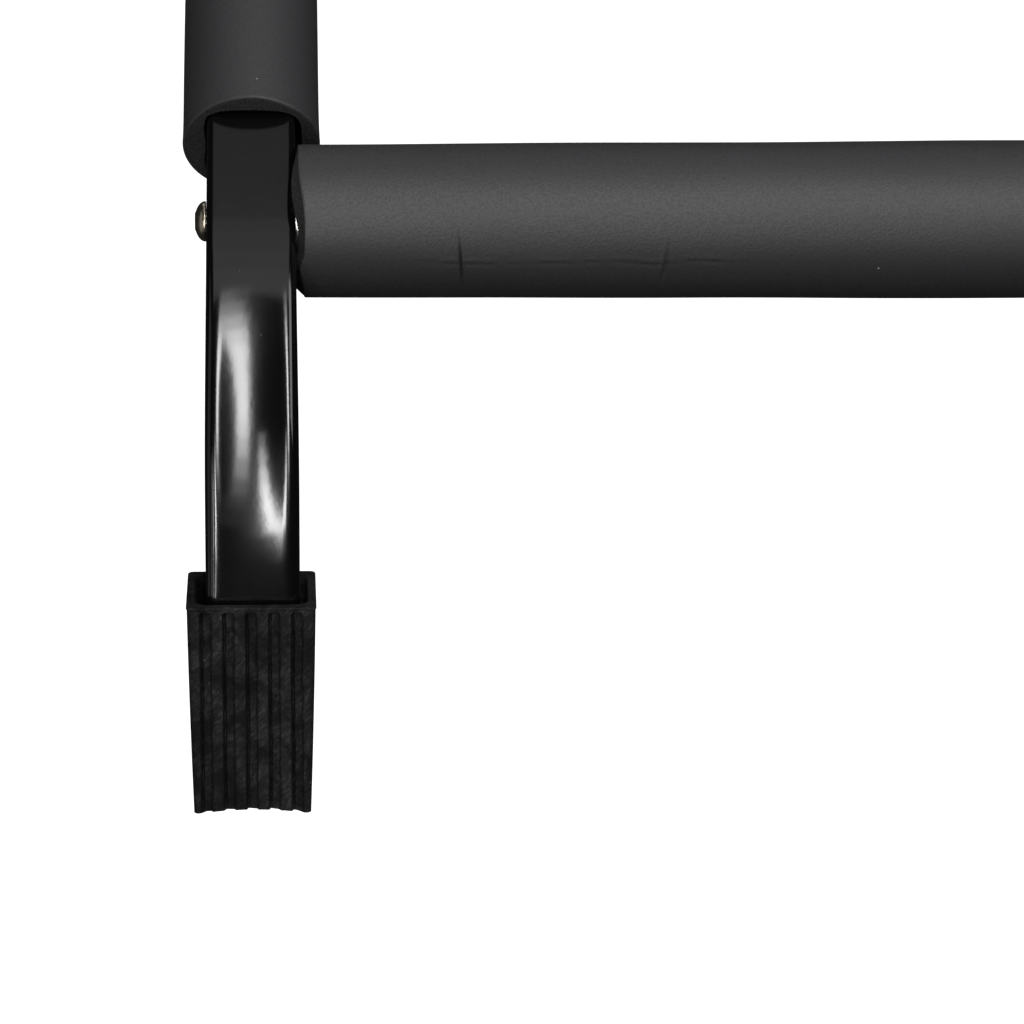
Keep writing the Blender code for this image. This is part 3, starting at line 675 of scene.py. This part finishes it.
def groove_depth(across, below, seed):
    """How deep the grooves are at a place on a ribbed face."""
    depth = np.zeros(across.shape)
    burr = np.zeros(across.shape)
    for i in range(GROOVES):
        wander = GROOVE_WAVER * noise.noise(Vector((seed + i * 3.3, below * 60, 0.5)))
        middle = (i - (GROOVES - 1) / 2) * GROOVE_PITCH + wander
        off = np.abs(across - middle)
        round_off = np.clip(off - (GROOVE_HALF - GROOVE_TOP_CORNER), 0, GROOVE_TOP_CORNER)
        top = GROOVE_START + GROOVE_TOP_CORNER - np.sqrt(GROOVE_TOP_CORNER**2 - round_off**2)
        inside = smooth_step(off, GROOVE_HALF + GROOVE_WALL, GROOVE_HALF - GROOVE_WALL)
        tilt = 1 - 0.3 * (across - middle) / GROOVE_HALF
        started = smooth_step(below - top, 0, GROOVE_EASE)
        from_nick = np.abs(across - middle + GROOVE_HALF - NICK_IN)
        nick = (smooth_step(from_nick, NICK_OUTER, NICK_INNER)
                * smooth_step(BOOT_LENGTH - below, 0, NICK_FADE))
        edge = smooth_step(np.abs(across - middle - GROOVE_HALF - GROOVE_WALL), BURR_HALF, 0)
        depth = np.maximum(depth, (GROOVE_DEPTH * tilt * inside + NICK_DEPTH * nick) * started)
        burr = np.maximum(burr, BURR * edge * started)
    return depth - burr


def boot_outline():
    """Shares round the boot's section as (u, v) on a unit square, fine across the ribbed faces."""
    fine = np.linspace(-1, 1, 141)
    coarse = np.linspace(-1, 1, 25)
    upper = [(u, 1.0) for u in fine[::-1]]
    left = [(-1.0, v) for v in coarse[::-1][1:]]
    lower = [(u, -1.0) for u in fine[1:]]
    right = [(1.0, v) for v in coarse[1:-1]]
    return np.array(upper + left + lower + right)


def round_corners(points, halves, corner):
    """Pulls the corners of a rectangular outline onto arcs."""
    inner = halves - corner
    off = np.abs(points) - inner
    both = (off > 0).all(axis=1)
    length = np.hypot(off[:, 0], off[:, 1])
    scale = np.where(both & (length > corner), corner / np.maximum(length, 1e-9), 1.0)
    moved = np.sign(points) * (inner + off * scale[:, None])
    return np.where(both[:, None], moved, points)


def boot_ring(below, half_wide, half_high, corner, off=0.0, seed=None):
    """One ring of the boot: (across, up, below). A seed asks for the grooves' own waver."""
    halves = np.array((half_wide, half_high))
    points = round_corners(BOOT_SHARES * halves, halves, corner)
    down = np.full(len(points), below)
    if seed is not None:
        ribbed = np.abs(BOOT_SHARES[:, 1]) == 1
        depth = groove_depth(points[:, 0], below, seed) * ribbed
        points[:, 1] -= np.sign(BOOT_SHARES[:, 1]) * depth
    arch = FOOT_ARCH * (1 - (points[:, 0] / half_wide) ** 2)
    down -= arch * smooth_step(np.array(below), BOOT_LENGTH - ARCH_FROM, BOOT_LENGTH)
    points[:, 0] += off
    return np.column_stack([points, down])


BOOT_SHARES = boot_outline()
for side, seed in (("left", 0.0), ("right", 40.0)):
    tail = arm_line(*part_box(f"arm_{side}"))[-1]
    off = BOOT_OFF * -SIDES[side]
    heading = math.radians(FRONT_BEND_DEG)
    downward = np.array((0, -math.cos(heading), -math.sin(heading)))
    upward = np.array((0, -math.sin(heading), math.cos(heading)))
    rim = np.array(tail) + downward * (BOOT_GAP + BOOT_FLOOR - BOOT_LENGTH)
    foot = boot_half(BOOT_LENGTH)
    levels = list(np.arange(BOOT_LENGTH - FOOT_EDGE, 8 * MM, -0.9 * MM))
    levels += list(np.arange(7.5 * MM, 3 * MM, -0.3 * MM))
    levels += list(np.arange(3 * MM, 0.2 * MM, -0.15 * MM))
    rings = [boot_ring(BOOT_LENGTH, foot * 0.85, foot * 0.85, BOOT_CORNER, off),
             boot_ring(BOOT_LENGTH, foot - FOOT_EDGE, foot - FOOT_EDGE, BOOT_CORNER, off, seed)]
    for below in levels:
        lip = LIP_OUT * float(smooth_step(np.array(below), LIP_HIGH + 0.2 * MM, LIP_HIGH))
        half = boot_half(below) + lip
        rings.append(boot_ring(below, half, half, BOOT_CORNER, off, seed))
    snug = ARM_HALF + BOOT_GAP
    for below, wide, high, corner, shift in (
            (0.05 * MM, RIM_HALF + 0.15 * MM, RIM_HALF + 0.15 * MM, BOOT_CORNER, off),
            (0.0, RIM_HALF, RIM_HALF, BOOT_CORNER, off),
            (0.0, MOUTH_WIDE + 0.2 * MM, MOUTH_HIGH + 0.2 * MM, MOUTH_CORNER, off),
            (0.2 * MM, MOUTH_WIDE, MOUTH_HIGH, MOUTH_CORNER, off),
            (GROOVE_START, MOUTH_WIDE - 0.2 * MM, MOUTH_HIGH - 1.0 * MM, MOUTH_CORNER, off),
            (MOUTH_DEPTH * 0.7, MOUTH_WIDE - 0.6 * MM, MOUTH_HIGH - 1.7 * MM, MOUTH_CORNER, off),
            (MOUTH_DEPTH, snug, snug, ARM_CORNER, 0.0),
            (BOOT_LENGTH - BOOT_FLOOR, snug, snug, ARM_CORNER, 0.0)):
        rings.append(boot_ring(below, wide, high, corner, shift))
    placed = [rim + ring[:, 0:1] * np.array((1, 0, 0)) + ring[:, 1:2] * upward
              + ring[:, 2:3] * downward for ring in rings]
    boot = skin_mesh(f"ribbed_boot_{side}", placed, [rubber], capped=True)
    stand_for(boot, f"boot_{side}")

# ---- Door bar, hook bar and front bar ----
# Stock steel tube in the same enamel. The front bar's tube lies wholly inside its sleeve.

HOOK_CORNER = 2 * MM

low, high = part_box("door_bar_tube")
tube_r = (high[2] - low[2]) / 2
middle_y, middle_z = (low[1] + high[1]) / 2, (low[2] + high[2]) / 2
round_section = [(tube_r * math.cos(math.radians(a)), tube_r * math.sin(math.radians(a)))
                 for a in range(0, 360, 5)]
steps = np.linspace(low[0], high[0], 40)
door_bar = sweep("door_bar", [(x, middle_y, middle_z) for x in steps], round_section, enamel)
stand_for(door_bar, "door_bar_tube")

low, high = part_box("hook_bar_tube")
middle_y, middle_z = (low[1] + high[1]) / 2, (low[2] + high[2]) / 2
half_up, half_deep = (high[2] - low[2]) / 2, (high[1] - low[1]) / 2
steps = np.linspace(low[0], high[0], 30)
hook_section = rounded_outline(half_deep, half_up, HOOK_CORNER, corner_steps=6, flat_step=4 * MM)
hook_bar = sweep("hook_bar", [(x, middle_y, middle_z) for x in steps], hook_section, enamel)
stand_for(hook_bar, "hook_bar_tube")
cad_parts["front_bar_tube"].material_slots[0].material = enamel

# ---- Fasteners ----
# M6 dome bolts hold the front bar, M8 ones the door bar and the hook bar, with washers and lock
# nuts. The bolts are plated in dark nickel, the flanges, washers and nuts in bright zinc.

SOCKET_M6, SOCKET_M8 = 2.0 * MM, 2.5 * MM      # half the keys' widths
SHANK_M6, SHANK_M8 = 3 * MM, 4 * MM
HEAD_M6, HEAD_M8 = 3.2 * MM, 3.3 * MM
FRONT_BOLT_LENGTH = 40 * MM
FRONT_SEAT = 3.5 * MM     # from the box's end to under the front bar's bolt head
PLUG_R, PLUG_BORE, PLUG_LENGTH = 12.2 * MM, 3.3 * MM, 25 * MM
FLANGE_OUT, FLANGE_IN, CHAMFER = 0.9 * MM, 1.2 * MM, 0.3 * MM
HOLE_M8 = 4.3 * MM
WASHER_EDGE = 0.2 * MM
NUT_APOTHEM = 6.4 * MM


def plated(name, darker, lighter, cloud, haze, smoothest, dullest):
    """A plated metal, slightly clouded and hazed at the given sizes."""
    finish, tree, shader, spot = new_finish(name, Metallic=1.0)
    bath = add_node(tree, "ShaderNodeTexNoise", {"Vector": spot, "Scale": 0.5 / cloud})
    plate = add_node(tree, "ShaderNodeMix", {"Factor": bath.outputs["Fac"], "A": linear(darker),
                                             "B": linear(lighter)}, data_type="RGBA")
    tree.links.new(plate.outputs["Result"], shader.inputs["Base Color"])
    breath = add_node(tree, "ShaderNodeTexNoise", {"Vector": spot, "Scale": 0.5 / haze})
    dull = add_node(tree, "ShaderNodeMapRange",
                    {"Value": breath.outputs["Fac"], "From Min": 0.3, "From Max": 0.7,
                     "To Min": smoothest, "To Max": dullest})
    tree.links.new(dull.outputs["Result"], shader.inputs["Roughness"])
    return finish


# Dark nickel plate: a warm grey mirror, slightly uneven.
nickel = plated("dark_nickel_plate", "A79D8A", "BEB6A5", 3 * MM, 1 * MM, 0.22, 0.32)
# Bright zinc plate: silver with a faint cloudiness.
zinc = plated("bright_zinc_plate", "C8C7C3", "DCDBD8", 2 * MM, 0.8 * MM, 0.24, 0.34)
AROUND = np.radians(np.arange(0, 360, 7.5))


def hexagon(apothem):
    """The radius of a hexagon at each turn."""
    return apothem / np.cos((AROUND + math.pi / 6) % (math.pi / 3) - math.pi / 6)


def turn_part(name, profile, origin, axis, finish, capped=True, smooth_deg=35):
    """A part turned about an axis, from (along, radius) rings whose radius may vary round it."""
    u_axis = (0, 0, 1) if abs(axis[2]) < 0.5 else (0, 1, 0)
    rings = [np.stack([np.full(AROUND.shape, along), AROUND,
                       np.broadcast_to(radius, AROUND.shape)], 1) for along, radius in profile]
    return skin_mesh(name, place_rings(rings, origin, axis, u_axis), [finish],
                     capped=capped, smooth_deg=smooth_deg)


def dome_bolt(name, head_r, head_height, shank_r, length, key, origin, axis):
    """A dome-headed bolt with a hexagon socket. 0 is under its head; the shank is along +axis."""
    edge = 0.12 * head_height
    profile = [(-0.35 * head_height, hexagon(key * 0.98)), (-0.9 * head_height, hexagon(key)),
               (-0.96 * head_height, hexagon(key * 1.06))]
    for i in range(3, 11):
        turn = math.radians(9 * i)
        profile.append((-edge - (head_height - edge) * math.cos(turn) ** 1.15,
                        head_r * math.sin(turn) ** 0.9))
    profile += [(-edge * 0.5, head_r), (0.0, head_r * 0.98), (0.0, shank_r), (length, shank_r)]
    return turn_part(name, profile, origin, axis, nickel)


for side, inward in SIDES.items():
    low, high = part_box(f"front_bar_bolt_{side}")
    head_x = low[0] if inward > 0 else high[0]
    head_r = (high[2] - low[2]) / 2
    seat = (head_x + inward * FRONT_SEAT, BAR_Y, ARM_Z)
    bolt = dome_bolt(f"front_bolt_{side}", head_r, HEAD_M6, SHANK_M6, FRONT_BOLT_LENGTH, SOCKET_M6,
                     seat, (inward, 0, 0))
    stand_for(bolt, f"front_bar_bolt_{side}")

    low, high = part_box(f"front_bar_plug_{side}")
    flange_r = (high[2] - low[2]) / 2
    face_x = low[0] if inward > 0 else high[0]
    plug = turn_part(f"bar_plug_{side}",
                     [(-FLANGE_OUT, PLUG_BORE), (-FLANGE_OUT, flange_r - CHAMFER),
                      (CHAMFER - FLANGE_OUT, flange_r), (FLANGE_IN - CHAMFER, flange_r),
                      (FLANGE_IN, flange_r - CHAMFER), (FLANGE_IN, PLUG_R),
                      (PLUG_LENGTH, PLUG_R), (PLUG_LENGTH, PLUG_BORE)],
                     (face_x, BAR_Y, ARM_Z), (inward, 0, 0), zinc, capped=False)
    stand_for(plug, f"front_bar_plug_{side}")

    for joint, axis in (("door", (0, 0, -1)), ("hook", (0, 1, 0))):
        along = 2 if joint == "door" else 1
        down = axis[along]
        for kind in ("bolt", "washer", "nut"):
            node = f"{joint}_{kind}_{side}"
            low, high = np.array(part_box(node)[0]), np.array(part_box(node)[1])
            start = (low + high) / 2
            start[along] = high[along] if down < 0 else low[along]
            length = high[along] - low[along]
            wide = high[0] - low[0]
            if kind == "bolt":
                seat = start + np.array(axis) * HEAD_M8
                piece = dome_bolt(f"{joint}_dome_bolt_{side}", wide / 2, HEAD_M8, SHANK_M8,
                                  length - HEAD_M8, SOCKET_M8, seat, axis)
            elif kind == "washer":
                piece = turn_part(f"{joint}_flat_washer_{side}",
                                  [(0.0, HOLE_M8), (0.0, wide / 2 - WASHER_EDGE),
                                   (WASHER_EDGE, wide / 2), (length - WASHER_EDGE, wide / 2),
                                   (length, wide / 2 - WASHER_EDGE), (length, HOLE_M8)],
                                  start, axis, zinc, capped=False)
            else:
                flats = hexagon(NUT_APOTHEM)
                piece = turn_part(f"{joint}_lock_nut_{side}",
                                  [(0.0, HOLE_M8), (0.0, np.minimum(flats, 6.7 * MM)),
                                   (0.6 * MM, flats), (length * 0.62, flats),
                                   (length * 0.70, np.minimum(flats, 6.6 * MM)),
                                   (length * 0.74, 5.9 * MM), (length * 0.94, 5.8 * MM),
                                   (length, 5.4 * MM), (length, HOLE_M8)],
                                  start, axis, zinc, capped=False)
            stand_for(piece, node)

# ---- Plastic parts ----
# Injection-moulded black plastic: the saddles between arms and door bar, the door bar's end caps
# and the square plugs in the risers' tops. They keep the frame's own shapes.

# Moulded polypropylene: satin black, with a fine spark-eroded texture.
plastic, tree, shader, spot = new_finish("moulded_polypropylene", IOR=1.49, Metallic=0.0)
flow = add_node(tree, "ShaderNodeTexNoise", {"Vector": spot, "Scale": 0.5 / (8 * MM)})
shade = add_node(tree, "ShaderNodeMix", {"Factor": flow.outputs["Fac"], "A": linear("151516"),
                                         "B": linear("1C1C1D")}, data_type="RGBA")
tree.links.new(shade.outputs["Result"], shader.inputs["Base Color"])
spark = add_node(tree, "ShaderNodeTexNoise", {"Vector": spot, "Scale": 0.5 / (0.35 * MM)})
satin = add_node(tree, "ShaderNodeMapRange",
                 {"Value": spark.outputs["Fac"], "From Min": 0.3, "From Max": 0.7,
                  "To Min": 0.42, "To Max": 0.52})
tree.links.new(satin.outputs["Result"], shader.inputs["Roughness"])
eroded = add_node(tree, "ShaderNodeBump", {"Height": spark.outputs["Fac"], "Distance": 0.03 * MM})
tree.links.new(eroded.outputs["Normal"], shader.inputs["Normal"])
for node in ("door_saddle_left", "door_saddle_right", "door_bar_cap_left", "door_bar_cap_right",
             "riser_plug_left", "riser_plug_right"):
    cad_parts[node].material_slots[0].material = plastic

# ---- Hook bar's rubber ----
# A moulded rubber sleeve grips the trim and the wall, with ribs along its back, and a rubber cap
# closes each end of the bar.

RIB_PITCH = 6.15 * MM
RIB_HALF = 1.7 * MM
RIB_HIGH = 0.9 * MM
RIB_COUNT = 6
RIB_END_GAP = 4 * MM
RUBBER_WALL = 3.9 * MM
RUBBER_EDGE, RUBBER_CORNER = 0.4 * MM, 4 * MM

copies_tree = bpy.data.node_groups.new("rib_row", "GeometryNodeTree")
socket(copies_tree, "Geometry", "NodeSocketGeometry", "OUTPUT")
ROW_BODY = socket(copies_tree, "Body", "NodeSocketObject")
ROW_RIB = socket(copies_tree, "Rib", "NodeSocketObject")
ROW_COUNT = socket(copies_tree, "Count", "NodeSocketInt")
ROW_START = socket(copies_tree, "Start", "NodeSocketVector")
ROW_STEP = socket(copies_tree, "Step", "NodeSocketVector")
ROW_FINISH = socket(copies_tree, "Finish", "NodeSocketMaterial")
asked = add_node(copies_tree, "NodeGroupInput").outputs
rib = add_node(copies_tree, "GeometryNodeObjectInfo", {"Object": asked["Rib"]})
body = add_node(copies_tree, "GeometryNodeObjectInfo", {"Object": asked["Body"]})
row = add_node(copies_tree, "GeometryNodeMeshLine",
               {"Count": asked["Count"], "Start Location": asked["Start"],
                "Offset": asked["Step"]})
ribs = add_node(copies_tree, "GeometryNodeInstanceOnPoints",
                {"Points": row.outputs["Mesh"], "Instance": rib.outputs["Geometry"]})
both = add_node(copies_tree, "GeometryNodeJoinGeometry")
copies_tree.links.new(ribs.outputs["Instances"], both.inputs["Geometry"])
copies_tree.links.new(body.outputs["Geometry"], both.inputs["Geometry"])
smooth = add_node(copies_tree, "GeometryNodeSetShadeSmooth",
                  {"Geometry": both.outputs["Geometry"]})
real = add_node(copies_tree, "GeometryNodeRealizeInstances", {"Geometry": smooth.outputs[0]})
coated = add_node(copies_tree, "GeometryNodeSetMaterial",
                  {"Geometry": real.outputs[0], "Material": asked["Finish"]})
add_node(copies_tree, "NodeGroupOutput", {"Geometry": coated.outputs[0]})


def box_sleeve(name, low, high, wall, open_start, open_end):
    """A rubber box section along X round the hook bar, with its corners rounded."""
    half_deep, half_up = (high[1] - low[1]) / 2, (high[2] - low[2]) / 2
    outer = rounded_outline(half_deep, half_up, RUBBER_CORNER, corner_steps=6, flat_step=3 * MM)
    inner = [(u * (half_deep - wall) / half_deep, v * (half_up - wall) / half_up)
             for u, v in outer]
    smaller = [(u * (half_deep - RUBBER_EDGE) / half_deep, v * (half_up - RUBBER_EDGE) / half_up)
               for u, v in outer]
    middle_y, middle_z = (low[1] + high[1]) / 2, (low[2] + high[2]) / 2

    def ring(x, outline):
        return [(x, middle_y + u, middle_z + v) for u, v in outline]

    rings = [ring(low[0], smaller), ring(low[0] + RUBBER_EDGE, outer),
             ring(high[0] - RUBBER_EDGE, outer), ring(high[0], smaller)]
    if open_start and open_end:
        rings += [ring(high[0], inner), ring(low[0], inner)]
        return skin_mesh(name, rings, [rubber])
    if open_end:
        rings += [ring(high[0], inner), ring(low[0] + wall, inner)]
    else:
        rings = rings[::-1] + [ring(low[0], inner), ring(high[0] - wall, inner)]
    return skin_mesh(name, rings, [rubber], capped=True)


low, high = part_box("hook_bar_sleeve")
plain = box_sleeve("plain_sleeve", low, high, RUBBER_WALL, True, True)
rib_length = high[0] - low[0] - 2 * RIB_END_GAP
rib_outline = [(RIB_HALF * u, RIB_HIGH * (v - 0.6)) for u, v in
               ((1, 0), (0.92, 0.75), (0.75, 1), (-0.75, 1), (-0.92, 0.75), (-1, 0))]
rib_rings = [[(x, v, u) for u, v in rib_outline] for x in
             np.linspace(-rib_length / 2, rib_length / 2, 3)]
rib_piece = skin_mesh("back_rib", rib_rings, [rubber], capped=True)
middle_z = (low[2] + high[2]) / 2
sleeve = run_nodes("ribbed_sleeve", copies_tree,
                   {ROW_BODY: plain, ROW_RIB: rib_piece, ROW_COUNT: RIB_COUNT,
                    ROW_START: (0.0, high[1], middle_z - (RIB_COUNT - 1) / 2 * RIB_PITCH),
                    ROW_STEP: (0.0, 0.0, RIB_PITCH), ROW_FINISH: rubber})
bpy.data.objects.remove(plain)
bpy.data.objects.remove(rib_piece)
stand_for(sleeve, "hook_bar_sleeve")
for side, inward in SIDES.items():
    low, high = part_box(f"hook_bar_cap_{side}")
    cap = box_sleeve(f"hook_cap_{side}", low, high, RUBBER_WALL, inward < 0, inward > 0)
    stand_for(cap, f"hook_bar_cap_{side}")

# ---- Studio ----
# A pale floor far below, where the doorway's floor would be, and large soft lights.

FLOOR_DROP, FLOOR_HALF = 2.1, 9
CAMERA_AT = (-0.2723, -1.2651, 0.7956)
CAMERA_HEADING, CAMERA_DOWN, CAMERA_ROLL = 4.843, 51.642, 3.458
CAMERA_LENS = 154.8
LIGHT_AIM = Vector((-0.280, -0.500, -0.110))    # the front bend of the left arm

pale = bpy.data.materials.new("pale_floor")
pale.use_nodes = True
shader = pale.node_tree.nodes["Principled BSDF"]
shader.inputs["Base Color"].default_value = linear("F4F4F4")
shader.inputs["Roughness"].default_value = 0.9
shader.inputs["Emission Color"].default_value = linear("FFFFFF")
shader.inputs["Emission Strength"].default_value = 0.95
floor_mesh = bpy.data.meshes.new("floor")
floor_corners = [(x * FLOOR_HALF, y * FLOOR_HALF, -FLOOR_DROP)
                 for x, y in ((-1, -1), (1, -1), (1, 1), (-1, 1))]
floor_mesh.from_pydata(floor_corners, [], [(0, 1, 2, 3)])
floor_mesh.materials.append(pale)
floor = bpy.data.objects.new("floor", floor_mesh)
bpy.context.scene.collection.objects.link(floor)
floor.visible_diffuse = False
floor.visible_glossy = False


def soft_box(name, sideways, distance, width, strips):
    """A tall soft box that curves round the arm's bend, as strips (from, to, glow). Elevations run
    from the user's side over the top to the wall's side, and sideways is to the right."""
    turn = math.radians(sideways)
    for start, end, glow in strips:
        up = math.radians((start + end) / 2)
        away = Vector((math.sin(turn), -math.cos(turn) * math.cos(up),
                       math.cos(turn) * math.sin(up)))
        climb = Vector((0, math.sin(up), math.cos(up)))
        lamp = bpy.data.lights.new(name, "AREA")
        lamp.shape = "RECTANGLE"
        lamp.size, lamp.size_y = width, 2 * distance * math.tan(math.radians((end - start) / 2))
        lamp.energy = glow * math.pi * lamp.size * lamp.size_y
        light = bpy.data.objects.new(name, lamp)
        bpy.context.scene.collection.objects.link(light)
        light.matrix_world = (Matrix.Translation(LIGHT_AIM + away * distance)
                              @ Matrix((climb.cross(away), climb, away)).transposed().to_4x4())
        light.visible_camera = False


soft_box("overhead_box", 4.0, 2.2, 0.25,
         ((33, 39, 0.35), (39, 43, 0.9), (43, 48, 2.4), (48, 54, 6), (54, 59, 11.5),
          (59, 64, 16.5), (64, 85, 19.5), (85, 90, 16), (90, 95, 10), (95, 100, 5),
          (100, 104, 2.4)))
soft_box("front_box_low", -6.5, 2.3, 0.13, ((13, 17, 2), (17, 21, 7), (21, 25, 15), (25, 31, 24)))
soft_box("front_box", -5, 2.3, 0.145,
         ((31, 41, 28), (41, 46, 25), (46, 51, 18), (51, 56, 10), (56, 60, 4)))
soft_box("front_box_side", -17, 2.3, 0.15, ((17, 25, 6), (25, 46, 13), (46, 54, 4)))
soft_box("back_panel", 0, 2.3, 1.6,
         ((102, 112, 0.85), (112, 120, 0.75), (120, 127, 0.66), (127, 132.7, 0.58),
          (132.7, 142, 0.3)))
soft_box("side_panel", 34, 2.4, 1.2, ((66, 110, 3.55),))
soft_box("left_panel", -36, 0.7, 0.28, ((12, 46, 0.8),))
soft_box("far_left_panel", -78, 1.2, 0.8, ((0, 80, 0.3),))
soft_box("rear_panel", 0, 3.0, 2.6, ((150, 172, 0.8),))

# The air is white to the eye and dim to the surfaces, as in a large dark studio with a white sweep.
world = bpy.data.worlds.new("studio_air")
bpy.context.scene.world = world
world.use_nodes = True
tree = world.node_tree
dim = tree.nodes["Background"]
dim.inputs["Color"].default_value = linear("FFFFFF")
dim.inputs["Strength"].default_value = 0.02
white = add_node(tree, "ShaderNodeBackground", {"Color": linear("FFFFFF"), "Strength": 1.0})
seen = add_node(tree, "ShaderNodeLightPath").outputs["Is Camera Ray"]
air = add_node(tree, "ShaderNodeMixShader", {0: seen, 1: dim.outputs[0], 2: white.outputs[0]})
tree.links.new(air.outputs[0], tree.nodes["World Output"].inputs["Surface"])

camera = bpy.data.objects.new("camera", bpy.data.cameras.new("camera"))
bpy.context.scene.collection.objects.link(camera)
camera.data.lens = CAMERA_LENS
camera.data.clip_end = 50
heading, down, roll = (math.radians(a) for a in (CAMERA_HEADING, CAMERA_DOWN, CAMERA_ROLL))
look = Vector((math.sin(heading) * math.cos(down), math.cos(heading) * math.cos(down),
               -math.sin(down)))
level_right = look.cross(Vector((0, 0, 1))).normalized()
level_up = level_right.cross(look)
camera_right = math.cos(roll) * level_right + math.sin(roll) * level_up
camera_up = camera_right.cross(look)
camera.matrix_world = (Matrix.Translation(CAMERA_AT)
                       @ Matrix((camera_right, camera_up, -look)).transposed().to_4x4())
bpy.context.scene.camera = camera
bpy.context.scene.view_settings.view_transform = "Standard"
